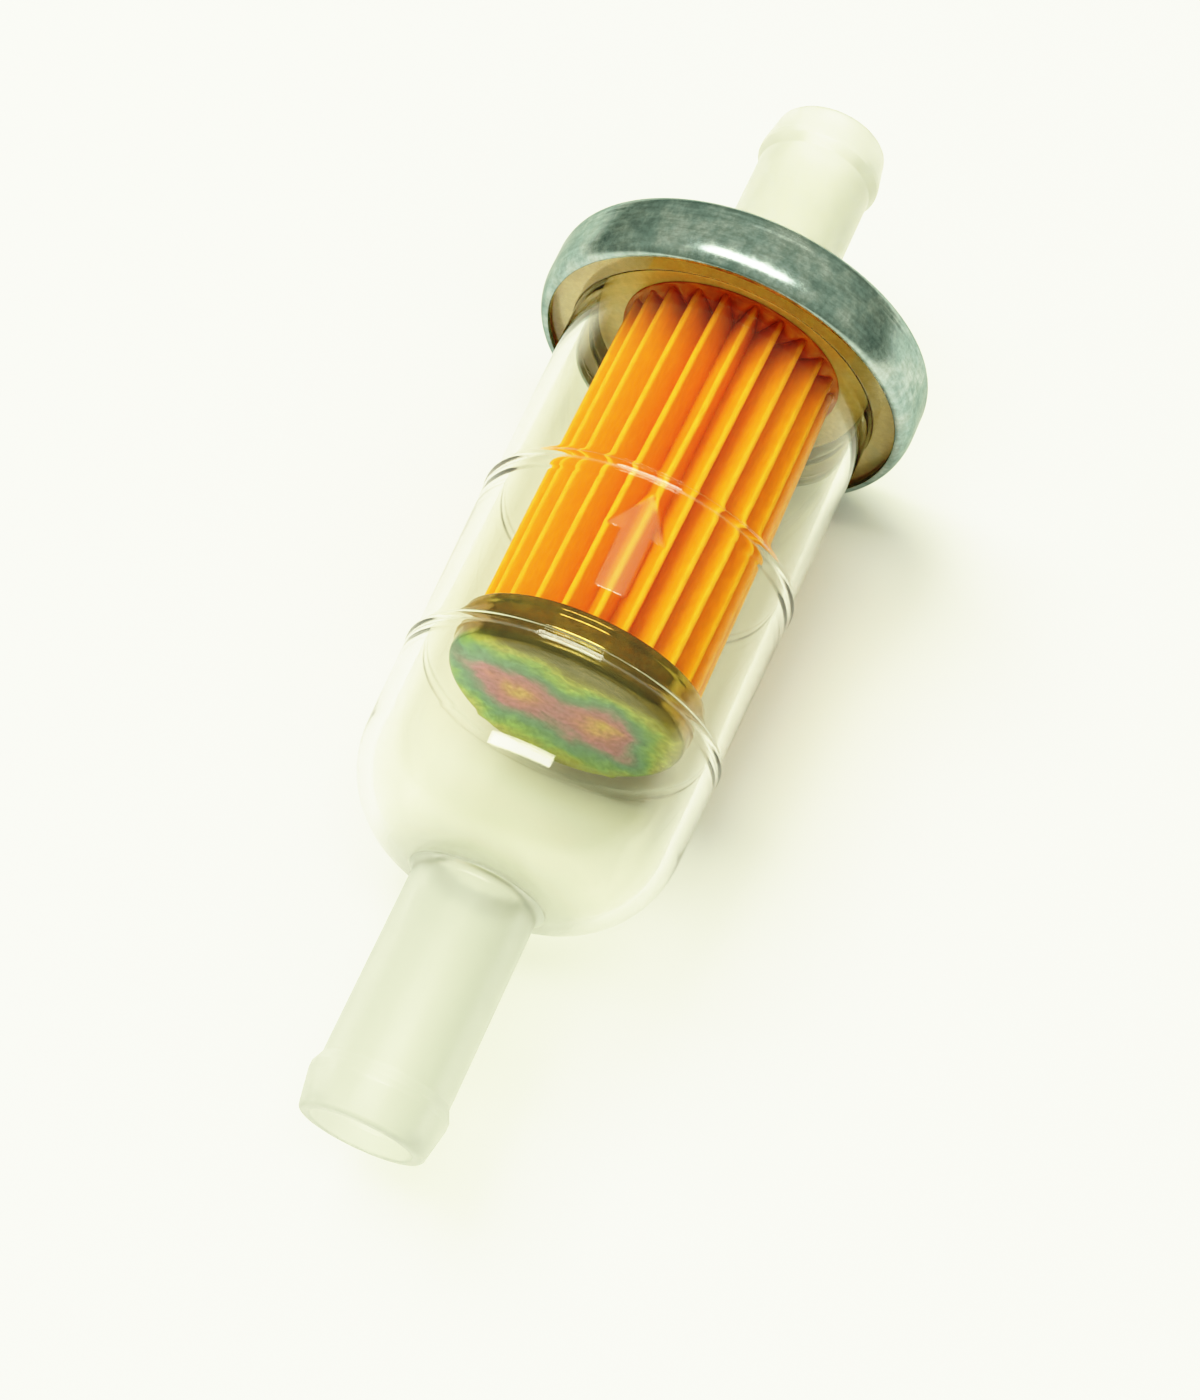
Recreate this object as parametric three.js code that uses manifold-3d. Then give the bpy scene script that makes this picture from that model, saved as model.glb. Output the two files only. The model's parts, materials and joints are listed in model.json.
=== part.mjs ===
// In-line fuel filter: a clear moulded bowl and a milky outlet cap, joined by a rolled steel ring
// that also clamps the plate of a pleated paper element.
//
// Millimetres, +Z up. Every turned piece is drawn about +Y, which is the way the fuel flows, with
// y = 0 at the inlet-side edge of the crimp ring. The whole filter is then laid on the ground: it
// rests on the ring's edge and on the shoulder of the dome, so its axis leans by a few degrees.

import * as THREE from 'three';
import { mergeVertices } from 'three/addons/utils/BufferGeometryUtils.js';
import Module from 'manifold-3d';

const wasm = await Module();
wasm.setup();

// ---- driving dimensions -------------------------------------------------------------------------

const SIDES = 48; // flats round every turned piece
const FIT_GAP = 0.05; // clearance between pieces that touch

const NIPPLE = { tube: 5.0, crest: 5.4, tip: 4.86, bore: 3.7, mouth: 4.0, barbLength: 4.27 };
const INLET_TIP_Y = -68.6;
const OUTLET_TIP_Y = 25.6;
const MOUTH_CHAMFER = 1.0; // along the axis

const DOME = { startY: -40.1, cornerRadius: 8.5, outerRadius: 12.85, rootAngle: -77, rootFillet: 0.8 };
const BOWL = { wall: 1.2, flangeEndRadius: 13.15, flangeFillet: 0.45 };
const BOWL_STEPS = [
  { y: -32.6, radiusBefore: 13.05, radiusAfter: 12.78 },
  { y: -17.7, radiusBefore: 13.15, radiusAfter: 12.85 },
];
const STEP_LENGTH = 1.0;
const FLANGE_RADIUS = 15.8;
const FLANGE_THICKNESS = 1.6;

const RING = {
  radius: 16.37, width: 5.1, sheet: 0.45, lipRadius: 15.16, lipProud: 0.43, backRadius: 14.6,
  frontEdge: 0.68, backEdge: 0.9,
};
const PLATE = { hole: 4.0, sheet: 0.55 };
const SEAL = { inner: 12.6, thickness: 0.6 };
const CAP = { flangeThickness: 1.65, rootFillet: 1.6 };

const PAPER = { outer: 9.45, inner: 6.2, thickness: 0.5, pleats: 24, ridgeAngle: 4.5 };
const GLUE = { inner: 5.7, outer: 9.85, plateDepth: 0.9, cupDepth: 2.1, plateChamfer: 0.4, cupChamfer: 0.8 };
const CUP = {
  faceY: -32.8, rimY: -28.95, rimRadius: 10.1, wallRadius: 9.85, sheet: 0.35, corner: 1.1, bead: 0.4,
};

const ARROW = {
  tipY: -19.3, baseY: -22.8, tailY: -27.8, headHalf: 2.3, stemHalf: 1.2, roll: 10.3,
  topRadius: 13.25, sunkRadius: 12.2,
};

// ---- stations worked out along the axis ------------------------------------------------------------

const flangeFront = RING.sheet - RING.lipProud + FIT_GAP;
const flangeBack = flangeFront + FLANGE_THICKNESS;
const plateFront = flangeBack + FIT_GAP;
const plateBack = plateFront + PLATE.sheet;
const sealFront = plateBack + FIT_GAP;
const sealBack = sealFront + SEAL.thickness;
const capFront = sealBack + FIT_GAP;
const capBack = capFront + CAP.flangeThickness;
const glueFront = plateFront - FIT_GAP - GLUE.plateDepth;
const cupFloor = CUP.faceY + CUP.sheet;
const cupGlueTop = cupFloor + FIT_GAP + GLUE.cupDepth;
const domeCentreRadius = DOME.outerRadius - DOME.cornerRadius;
const domeEndY = DOME.startY - DOME.cornerRadius;

// ---- helpers -----------------------------------------------------------------------------------------

// Points of a round corner about (radius, y), from one angle to another; 0 degrees points outwards
// along the radius and 90 degrees points along +Y.
function arc(radius, y, size, fromDegrees, toDegrees, steps) {
  const points = [];
  for (let i = 0; i <= steps; i += 1) {
    const angle = THREE.MathUtils.degToRad(THREE.MathUtils.lerp(fromDegrees, toDegrees, i / steps));
    points.push([radius + size * Math.cos(angle), y + size * Math.sin(angle)]);
  }
  return points;
}

// Turns a profile of [radius, y] points about Y. The outside of the profile runs towards +Y. A flat,
// not a corner, faces straight down, and the flats lie on the true radius.
function turned(profile, closed = true) {
  const grow = 1 / Math.cos(Math.PI / SIDES);
  const points = profile.map(([radius, y]) => new THREE.Vector2(radius * grow, y));
  if (closed) points.push(points[0].clone());
  return new THREE.LatheGeometry(points, SIDES, Math.PI / SIDES);
}

function toManifold(geometry) {
  const bare = geometry.clone();
  bare.deleteAttribute('normal');
  bare.deleteAttribute('uv');
  const merged = mergeVertices(bare, 1e-5);
  return new wasm.Manifold(new wasm.Mesh({
    numProp: 3,
    vertProperties: new Float32Array(merged.attributes.position.array),
    triVerts: new Uint32Array(merged.index.array),
  }));
}

function toGeometry(solid) {
  const mesh = solid.getMesh();
  const geometry = new THREE.BufferGeometry();
  geometry.setAttribute('position', new THREE.BufferAttribute(mesh.vertProperties, 3));
  geometry.setIndex(new THREE.BufferAttribute(mesh.triVerts, 1));
  geometry.computeVertexNormals();
  return geometry;
}

// The barbed end of a hose nipple as [radius, distance from the tip] points, from the bore's mouth
// to where the barb meets the plain tube.
function barbProfile() {
  return [
    [NIPPLE.mouth, 0],
    [NIPPLE.tip - 0.2, 0],
    [NIPPLE.tip, 0.25],
    [NIPPLE.crest, 2.9],
    [NIPPLE.crest, 3.4],
    [NIPPLE.tube, NIPPLE.barbLength],
  ];
}

// ---- pieces ------------------------------------------------------------------------------------------

// The bowl's outside is in three drafted lengths, with a short drop where one ends and the next begins.
function bowlGeometry() {
  const inletBarb = barbProfile().map(([radius, depth]) => [radius, INLET_TIP_Y + depth]);
  const innerCorner = DOME.cornerRadius - BOWL.wall;
  const throatAngle = -THREE.MathUtils.radToDeg(Math.acos((NIPPLE.bore - domeCentreRadius) / innerCorner));
  const steps = BOWL_STEPS.flatMap(({ y, radiusBefore, radiusAfter }) => [
    [radiusBefore, y - STEP_LENGTH / 2],
    [radiusAfter, y + STEP_LENGTH / 2],
  ]);
  const filletRadius = BOWL.flangeEndRadius + BOWL.flangeFillet;
  const profile = [
    ...inletBarb,
    [NIPPLE.tube, domeEndY - DOME.rootFillet],
    [NIPPLE.tube + DOME.rootFillet / 4, domeEndY - DOME.rootFillet / 2],
    ...arc(domeCentreRadius, DOME.startY, DOME.cornerRadius, DOME.rootAngle, 0, 8),
    ...steps,
    ...arc(filletRadius, flangeFront - BOWL.flangeFillet, BOWL.flangeFillet, 180, 90, 2),
    [FLANGE_RADIUS, flangeFront],
    [FLANGE_RADIUS, flangeBack],
    [BOWL.flangeEndRadius - BOWL.wall, flangeBack],
    ...arc(domeCentreRadius, DOME.startY, innerCorner, 0, throatAngle, 7),
    [NIPPLE.bore, INLET_TIP_Y + MOUTH_CHAMFER],
  ];
  return toGeometry(toManifold(turned(profile)).add(toManifold(arrowGeometry())));
}

// The raised arrow that shows the flow direction, on top of the bowl and a little to one side.
function arrowGeometry() {
  const outline = new THREE.Shape([
    new THREE.Vector2(0, ARROW.tipY),
    new THREE.Vector2(-ARROW.headHalf, ARROW.baseY),
    new THREE.Vector2(-ARROW.stemHalf, ARROW.baseY),
    new THREE.Vector2(-ARROW.stemHalf, ARROW.tailY),
    new THREE.Vector2(ARROW.stemHalf, ARROW.tailY),
    new THREE.Vector2(ARROW.stemHalf, ARROW.baseY),
    new THREE.Vector2(ARROW.headHalf, ARROW.baseY),
  ]);
  const depth = ARROW.topRadius - ARROW.sunkRadius;
  const geometry = new THREE.ExtrudeGeometry(outline, { depth, bevelEnabled: false });
  geometry.translate(0, 0, ARROW.sunkRadius);
  geometry.rotateY(THREE.MathUtils.degToRad(ARROW.roll));
  return geometry;
}

function outletCapGeometry() {
  const outletBarb = barbProfile().map(([radius, depth]) => [radius, OUTLET_TIP_Y - depth]).reverse();
  return turned([
    [NIPPLE.bore, capFront],
    [FLANGE_RADIUS, capFront],
    [FLANGE_RADIUS, capBack],
    ...arc(NIPPLE.tube + CAP.rootFillet, capBack + CAP.rootFillet, CAP.rootFillet, -90, -180, 3),
    ...outletBarb,
    [NIPPLE.bore, OUTLET_TIP_Y - MOUTH_CHAMFER],
  ]);
}

// A channel of rolled sheet: a narrow rounded lip on the bowl's side, a wider one behind the cap.
function crimpRingGeometry() {
  const inside = RING.radius - RING.sheet;
  return turned([
    [RING.lipRadius, -RING.lipProud],
    ...arc(RING.radius - RING.frontEdge, RING.frontEdge - RING.lipProud, RING.frontEdge, -90, 0, 3),
    ...arc(RING.radius - RING.backEdge, RING.width - RING.backEdge, RING.backEdge, 0, 90, 3),
    [RING.backRadius, RING.width],
    [RING.backRadius, RING.width - RING.sheet],
    [inside, RING.width - RING.sheet],
    [inside, RING.sheet - RING.lipProud],
    [RING.lipRadius, RING.sheet - RING.lipProud],
  ]);
}

function sealRingGeometry() {
  return turned(washer(SEAL.inner, FLANGE_RADIUS, sealFront, sealBack));
}

function elementPlateGeometry() {
  return turned(washer(PLATE.hole, FLANGE_RADIUS, plateFront, plateBack));
}

function washer(inner, outer, front, back) {
  return [[inner, front], [outer, front], [outer, back], [inner, back]];
}

// Zigzag paper: rounded ridges outside, rounded folds inside, one constant sheet thickness.
function pleatedPaperGeometry() {
  const step = (2 * Math.PI) / PAPER.pleats;
  const half = PAPER.thickness / 2;
  const place = (radius, angle, offset) => new THREE.Vector2(
    radius * Math.cos(angle) - offset * Math.sin(angle),
    radius * Math.sin(angle) + offset * Math.cos(angle),
  );
  const outside = [];
  const inside = [];
  for (let i = 0; i < PAPER.pleats; i += 1) {
    const ridge = i * step;
    const fold = ridge + step / 2;
    outside.push(place(PAPER.outer, ridge, -half), place(PAPER.outer, ridge, half));
    outside.push(place(PAPER.inner + PAPER.thickness, fold, 0));
    inside.push(place(PAPER.outer - PAPER.thickness * 2, ridge, 0));
    inside.push(place(PAPER.inner, fold, -half), place(PAPER.inner, fold, half));
  }
  const sheet = new THREE.Shape(outside);
  sheet.holes.push(new THREE.Path(inside));
  const length = glueFront - FIT_GAP - (cupGlueTop + FIT_GAP);
  const geometry = new THREE.ExtrudeGeometry(sheet, { depth: length, bevelEnabled: false });
  geometry.rotateX(-Math.PI / 2);
  geometry.rotateY(Math.PI / 2 - THREE.MathUtils.degToRad(PAPER.ridgeAngle));
  geometry.translate(0, cupGlueTop + FIT_GAP, 0);
  return geometry;
}

// The closed cup on the inlet end of the pleats, with a small bead round its open edge.
function endCapGeometry() {
  const innerCorner = CUP.corner - CUP.sheet;
  const innerRadius = CUP.wallRadius - CUP.sheet;
  const beadStep = CUP.rimRadius - CUP.wallRadius;
  return turned([
    [0, CUP.faceY],
    ...arc(CUP.wallRadius - CUP.corner, CUP.faceY + CUP.corner, CUP.corner, -90, 0, 4),
    [CUP.wallRadius, CUP.rimY - CUP.bead - beadStep],
    [CUP.rimRadius, CUP.rimY - CUP.bead],
    [CUP.rimRadius, CUP.rimY],
    [innerRadius, CUP.rimY],
    ...arc(innerRadius - innerCorner, cupFloor + innerCorner, innerCorner, 0, -90, 3),
    [0, cupFloor],
  ], false);
}

function plateAdhesiveGeometry() {
  const back = plateFront - FIT_GAP;
  return turned([
    [GLUE.inner, glueFront],
    [GLUE.outer - GLUE.plateChamfer, glueFront],
    [GLUE.outer, glueFront + GLUE.plateChamfer],
    [GLUE.outer, back],
    [GLUE.inner, back],
  ]);
}

function endCapAdhesiveGeometry() {
  const wall = CUP.wallRadius - CUP.sheet - FIT_GAP;
  const floor = cupFloor + FIT_GAP;
  return turned([
    [GLUE.inner, floor],
    [wall - GLUE.cupChamfer, floor],
    [wall, floor + GLUE.cupChamfer],
    [wall, cupGlueTop],
    [GLUE.inner, cupGlueTop],
  ]);
}

// ---- assembly ------------------------------------------------------------------------------------------

function material(color, roughness, metalness, opacity = 1) {
  return new THREE.MeshStandardMaterial({ color, roughness, metalness, opacity, transparent: opacity < 1 });
}

function mesh(name, geometry, look) {
  const piece = new THREE.Mesh(geometry, look);
  piece.name = name;
  return piece;
}

const clearNylon = material(0xe8ead0, 0.12, 0, 0.3);
const milkyNylon = material(0xececd6, 0.35, 0, 0.85);
const zincSteel = material(0x9fb0a2, 0.3, 1);
const goldPassivated = material(0xb09a58, 0.3, 1);
const rubber = material(0x1c1c1c, 0.8, 0);
const paper = material(0xf7941e, 0.9, 0);
const adhesive = material(0x6e2a10, 0.45, 0);

const axisGroup = new THREE.Group();
axisGroup.add(
  mesh('inlet_bowl', bowlGeometry(), clearNylon),
  mesh('outlet_cap', outletCapGeometry(), milkyNylon),
  mesh('crimp_ring', crimpRingGeometry(), zincSteel),
  mesh('seal_ring', sealRingGeometry(), rubber),
  mesh('element_plate', elementPlateGeometry(), goldPassivated),
  mesh('pleated_paper', pleatedPaperGeometry(), paper),
  mesh('element_end_cap', endCapGeometry(), goldPassivated),
  mesh('plate_adhesive', plateAdhesiveGeometry(), adhesive),
  mesh('end_cap_adhesive', endCapAdhesiveGeometry(), adhesive),
);

// Resting lean: the tangent from the ring's edge to the round corner of the dome.
const ringEdgeY = RING.frontEdge - RING.lipProud;
const reach = Math.hypot(ringEdgeY - DOME.startY, RING.radius - domeCentreRadius);
const chordAngle = Math.atan2(RING.radius - domeCentreRadius, ringEdgeY - DOME.startY);
axisGroup.rotation.x = chordAngle - Math.asin(DOME.cornerRadius / reach);

// The origin is the centre of the bounding box in X and Y, on the ground in Z.
const filter = new THREE.Group();
filter.add(axisGroup);
filter.updateMatrixWorld(true);
const box = new THREE.Box3().setFromObject(filter, true);
axisGroup.position.set(-(box.min.x + box.max.x) / 2, -(box.min.y + box.max.y) / 2, -box.min.z);
filter.updateMatrixWorld(true);

export default filter;
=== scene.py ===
"""Looks of the in-line fuel filter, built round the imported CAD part.

Every piece is drawn in the filter's own axis frame: millimetres, +Y the way the fuel flows, y = 0
just behind the crimp ring's lip. The matrix LAY puts that frame where the CAD filter lies.
"""

import json
import math

import bpy
from mathutils import Matrix, Vector, noise


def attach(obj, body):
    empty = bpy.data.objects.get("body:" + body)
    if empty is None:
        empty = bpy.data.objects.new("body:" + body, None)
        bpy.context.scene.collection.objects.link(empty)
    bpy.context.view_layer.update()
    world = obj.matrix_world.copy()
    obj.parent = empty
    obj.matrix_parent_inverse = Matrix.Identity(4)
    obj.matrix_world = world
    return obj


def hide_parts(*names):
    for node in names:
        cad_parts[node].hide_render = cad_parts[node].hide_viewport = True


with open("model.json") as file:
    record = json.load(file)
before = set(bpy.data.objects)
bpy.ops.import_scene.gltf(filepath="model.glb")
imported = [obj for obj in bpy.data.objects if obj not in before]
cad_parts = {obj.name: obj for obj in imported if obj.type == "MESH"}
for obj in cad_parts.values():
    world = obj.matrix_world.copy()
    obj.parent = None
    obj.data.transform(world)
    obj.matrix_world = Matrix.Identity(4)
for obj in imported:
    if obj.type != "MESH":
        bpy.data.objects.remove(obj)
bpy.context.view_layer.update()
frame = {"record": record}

# ---- the CAD filter's own axis ------------------------------------------------------------------

MM = 0.001
INLET_TIP_Y = -68.6
OUTLET_TIP_Y = 25.6

mounts = {m["name"]: m for m in frame["record"]["mounts"]}
FLOW = Vector(mounts["outlet_nipple_end"]["axis"]).normalized()
LEAN = math.atan2(FLOW.z, FLOW.y)
INLET_TIP = Vector(mounts["inlet_nipple_end"]["pos_m"])
INLET_TIP.x = 0.0
ORIGIN = INLET_TIP - FLOW * INLET_TIP_Y * MM
LAY = Matrix.Translation(ORIGIN) @ Matrix.Rotation(LEAN, 4, "X")

# ---- driving dimensions, millimetres, the same as the CAD part's --------------------------------

TUBE, CREST, TIP, BORE, MOUTH = 5.0, 5.4, 4.86, 3.7, 4.0
DOME_Y, DOME_CORNER, DOME_OUTER = -40.1, 8.5, 12.85
DOME_CENTRE = DOME_OUTER - DOME_CORNER
WALL = 1.2
BOWL_R, LOW_STEP_R, MIDDLE_R, UPPER_R, HOLLOW_R = 13.15, 13.05, 12.78, 12.85, 11.95
ARROW_ZONE_R = 12.4  # only the outside of the bowl lies beyond this radius
FLANGE_R, FLANGE_FRONT, FLANGE_BACK = 15.8, 0.07, 1.67
PLATE_R, PLATE_HOLE, PLATE_FRONT, PLATE_BACK = 15.8, 4.0, 1.72, 2.27
GASKET_INNER, GASKET_FRONT, GASKET_BACK = 12.6, 2.32, 2.92
CAP_FRONT, CAP_BACK = 2.97, 4.62
RING_R, RING_WIDTH, RING_SHEET, LIP_R, LIP_PROUD, BACK_R = 16.365, 5.1, 0.45, 15.16, 0.43, 14.6
CUP_FACE, CUP_RIM, CUP_RIM_R, CUP_WALL_R, CUP_SHEET = -32.8, -28.95, 10.1, 9.85, 0.35
PLEATS, PAPER_OUTER, PAPER_INNER, PAPER_SHEET, FOLD_RADIUS = 24, 9.45, 6.1, 0.30, 0.12
RIDGE_ANGLE, RIDGE_JITTER, RIDGE_TWIST, TWIST_MIDDLE = -4.5, 0.9, 0.19, -17.0
PAPER_START, PAPER_END = -32.0, 1.5
ARROW_ROLL, ARROW_TIP, ARROW_BASE, ARROW_TAIL = 10.3, -19.3, -22.8, -27.8
ARROW_HEAD, ARROW_STEM, ARROW_HEIGHT, ARROW_EDGE = 2.3, 1.2, 0.05, 0.3
STEP_1, STEP_2, STEP_SLOPE = -17.1, -32.0, 0.6
BEAD, BEAD_WIDTH, BEAD_AHEAD, BEAD_FOOT = 0.12, 0.38, 0.7, 0.36

ROUND = 240  # segments round a turned piece


# ---- profiles -----------------------------------------------------------------------------------


def arc(radius, y, size, start, end, steps):
    """Points (radius, y) along a round corner, angles in degrees from the outward radius."""
    angles = [math.radians(start + (end - start) * i / steps) for i in range(steps + 1)]
    return [(radius + size * math.cos(a), y + size * math.sin(a)) for a in angles]


def rounded(corners, closed=True):
    """Turns (radius, y, fillet) corners into a profile with real arcs and short support lengths."""
    points = []
    count = len(corners)
    for i, corner in enumerate(corners):
        here = Vector(corner[:2])
        fillet = corner[2] if len(corner) > 2 else 0.0
        ends = not closed and i in (0, count - 1)
        if fillet <= 0 or ends:
            points.append(tuple(here))
            continue
        before = Vector(corners[i - 1][:2]) - here
        after = Vector(corners[(i + 1) % count][:2]) - here
        points += fillet_points(here, before, after, fillet)
    return points


def fillet_points(corner, before, after, fillet):
    """The arc that rounds one corner, with a support point on each straight beside it."""
    half = before.angle(after) / 2
    reach = min(fillet / math.tan(half), 0.45 * before.length, 0.45 * after.length)
    size = reach * math.tan(half)
    start = corner + before.normalized() * reach
    end = corner + after.normalized() * reach
    middle = (before.normalized() + after.normalized()).normalized()
    centre = corner + middle * math.hypot(reach, size)
    steps = max(3, round(math.degrees(math.pi - 2 * half) / 11))
    support = min(0.12, 0.05 * reach + 0.04)
    points = [tuple(start + before.normalized() * support)]
    for i in range(steps + 1):
        ray = (start - centre).lerp(end - centre, i / steps).normalized() * size
        points.append(tuple(centre + ray))
    points.append(tuple(end + after.normalized() * support))
    return points


# ---- mesh helpers -------------------------------------------------------------------------------


def add_piece(name, verts, faces, material, nodes):
    """A smooth mesh piece in the axis frame that rides on the filter and replaces CAD nodes."""
    mesh = bpy.data.meshes.new(name)
    mesh.from_pydata([LAY @ (Vector(v) * MM) for v in verts], [], faces)
    mesh.validate()
    mesh.shade_smooth()
    mesh.materials.append(material)
    piece = bpy.data.objects.new(name, mesh)
    bpy.context.scene.collection.objects.link(piece)
    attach(piece, "root")
    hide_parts(*nodes)
    return piece


def place(radius, angle, y):
    """A point at an angle from +Z towards +X."""
    return Vector((radius * math.sin(angle), y, radius * math.cos(angle)))


def turned(profile, closed=True, shape=None, around=ROUND):
    """Vertices and faces of a profile turned about Y; shape(angle, y, radius) may change a radius."""
    verts, faces = [], []
    rows = []
    for radius, y in profile:
        if radius < 1e-6:
            rows.append([len(verts)] * around)
            verts.append(Vector((0, y, 0)))
            continue
        rows.append(list(range(len(verts), len(verts) + around)))
        for k in range(around):
            angle = 2 * math.pi * k / around
            here = shape(angle, y, radius) if shape else radius
            verts.append(place(here, angle, y))
    pairs = list(zip(rows, rows[1:] + rows[:1])) if closed else list(zip(rows, rows[1:]))
    for low, high in pairs:
        for k in range(around):
            n = (k + 1) % around
            quad = [low[k], low[n], high[n], high[k]]
            faces.append([v for i, v in enumerate(quad) if v not in quad[:i]])
    return verts, faces


# ---- material helpers ---------------------------------------------------------------------------


class Nodes:
    """Short spelling for building one material's node tree."""

    def __init__(self, name):
        self.material = bpy.data.materials.new(name)
        self.material.use_nodes = True
        self.tree = self.material.node_tree
        self.tree.nodes.clear()
        self.output = self.tree.nodes.new("ShaderNodeOutputMaterial")
        self.here = self.place()

    def add(self, kind, settings=None, **inputs):
        """A node; each input is a value, or another node's output socket. _ stands for a space."""
        node = self.tree.nodes.new("ShaderNode" + kind)
        for key, value in (settings or {}).items():
            setattr(node, key, value)
        for key, value in inputs.items():
            name = key.replace("_", " ")
            target = node.inputs[int(key[1:])] if key[1:].isdigit() else node.inputs[name]
            if isinstance(value, bpy.types.NodeSocket):
                self.tree.links.new(value, target)
            else:
                target.default_value = value
        return node

    def math(self, operation, a, b=0.0, c=0.0, clamp=False):
        node = self.add("Math", {"operation": operation, "use_clamp": clamp}, i0=a, i1=b, i2=c)
        return node.outputs[0]

    def fade(self, value, low, high, start=0.0, end=1.0):
        """Smoothly from start to end as value goes from low to high."""
        settings = {"interpolation_type": "SMOOTHSTEP"}
        limits = {"i1": low, "i2": high, "i3": start, "i4": end}
        return self.add("MapRange", settings, i0=value, **limits).outputs[0]

    def ramp(self, value, stops):
        node = self.add("ValToRGB", None, i0=value)
        elements = node.color_ramp.elements
        while len(elements) > 1:
            elements.remove(elements[-1])
        elements[0].position, elements[0].color = stops[0][0], (*stops[0][1], 1)
        for position, colour in stops[1:]:
            elements.new(position).color = (*colour, 1)
        return node.outputs[0]

    def mix_colour(self, factor, a, b):
        node = self.add("Mix", {"data_type": "RGBA"}, i0=factor, i6=a, i7=b)
        return node.outputs[2]

    def noise(self, scale, detail=3.0, vector=None, roughness=0.5):
        """Noise by the metre, so scale 1000 has features about a millimetre across."""
        inputs = {"Scale": scale, "Detail": detail, "Roughness": roughness}
        inputs["Vector"] = vector or self.here
        return self.add("TexNoise", None, **inputs).outputs[0]

    def bump(self, height, strength, distance, normal=None):
        inputs = {"Height": height, "Strength": strength, "Distance": distance}
        if normal is not None:
            inputs["Normal"] = normal
        return self.add("Bump", None, **inputs).outputs[0]

    def place(self):
        """The place on the surface in the axis frame, in metres."""
        here = self.add("TexCoord").outputs["Object"]
        inputs = {"Vector": here, "Location": ORIGIN, "Rotation": (LEAN, 0, 0)}
        return self.add("Mapping", {"vector_type": "TEXTURE"}, **inputs).outputs[0]

    def let_light_by(self, shader, straight, grazing):
        """Lets lamp light and light from matt surfaces straight through, less so at grazing angles."""
        path = self.add("LightPath").outputs
        unseen = self.math("MAXIMUM", path["Is Shadow Ray"], path["Is Diffuse Ray"])
        facing = self.add("LayerWeight", None, Blend=0.5).outputs["Facing"]
        steep = self.math("POWER", facing, 2.5)
        tint = self.mix_colour(steep, straight, grazing)
        clear = self.add("BsdfTransparent", None, Color=tint)
        return self.add("MixShader", None, i0=unseen, i1=shader, i2=clear.outputs[0]).outputs[0]

    def finish(self, shader):
        self.tree.links.new(shader, self.output.inputs["Surface"])
        return self.material


def polar(n):
    """Angle about the axis in radians, and radius and y in metres, of the place on the surface."""
    parts = n.add("SeparateXYZ", None, i0=n.here).outputs
    x, y, z = parts[0], parts[1], parts[2]
    angle = n.math("ARCTAN2", x, z)
    square = n.math("ADD", n.math("MULTIPLY", x, x), n.math("MULTIPLY", z, z))
    return angle, n.math("SQRT", square), y


# ---- materials ----------------------------------------------------------------------------------


def clear_nylon():
    """Clear bowl, milky along the nipple and frosted on the arrow; painted highlight lines by the beads."""
    n = Nodes("clear_nylon")
    _, _, y = polar(n)
    root = (DOME_Y - DOME_CORNER) * MM
    milky = n.fade(y, root + 0.0022, root - 0.0004)
    # Rough mould on the arrow; beside the beads the same mark paints pale highlight lines through the haze.
    frost_and_highlight = n.add("Attribute", {"attribute_name": "frost_and_highlight"}).outputs["Fac"]
    ripple = n.bump(n.noise(120.0, 1.0), 0.12, 0.00004)
    grain = n.bump(n.noise(9000.0, 2.0), n.math("MULTIPLY", frost_and_highlight, 0.06, clamp=True), 0.00001, ripple)
    rough = n.math("ADD", n.math("MULTIPLY", milky, 0.2), n.math("MULTIPLY", frost_and_highlight, 0.22), clamp=True)
    tint = n.mix_colour(n.fade(y, -0.037, -0.030), (0.93, 0.935, 0.865, 1), (0.875, 0.87, 0.77, 1))
    clear = n.add(
        "BsdfPrincipled", None, Base_Color=tint, Roughness=rough, IOR=1.5,
        Transmission_Weight=1.0, Normal=grain,
    )
    body = n.add("BsdfDiffuse", None, Color=(0.56, 0.58, 0.55, 1), Normal=grain)
    through = n.add("BsdfTranslucent", None, Color=(0.62, 0.64, 0.61, 1), Normal=grain)
    cloud = n.add("MixShader", None, i0=0.55, i1=body.outputs[0], i2=through.outputs[0])
    # Haze: the milky nipple, the frosted arrow, and the painted highlight lines beside the beads.
    haze_and_highlight = n.math("ADD", n.math("MULTIPLY", milky, 0.38), n.math("MULTIPLY", frost_and_highlight, 0.12))
    haze_and_highlight = n.math("ADD", haze_and_highlight, 0.004)
    mix = n.add("MixShader", None, i0=haze_and_highlight, i1=clear.outputs[0], i2=cloud.outputs[0])
    corner = n.fade(y, DOME_Y * MM - 0.0004, root + 0.0021)
    straight = n.mix_colour(corner, (0.99, 0.99, 0.97, 1), (0.94, 0.95, 0.91, 1))
    grazing = n.mix_colour(corner, (0.50, 0.52, 0.46, 1), (0.25, 0.26, 0.22, 1))
    return n.finish(n.let_light_by(mix.outputs[0], straight, grazing))


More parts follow.
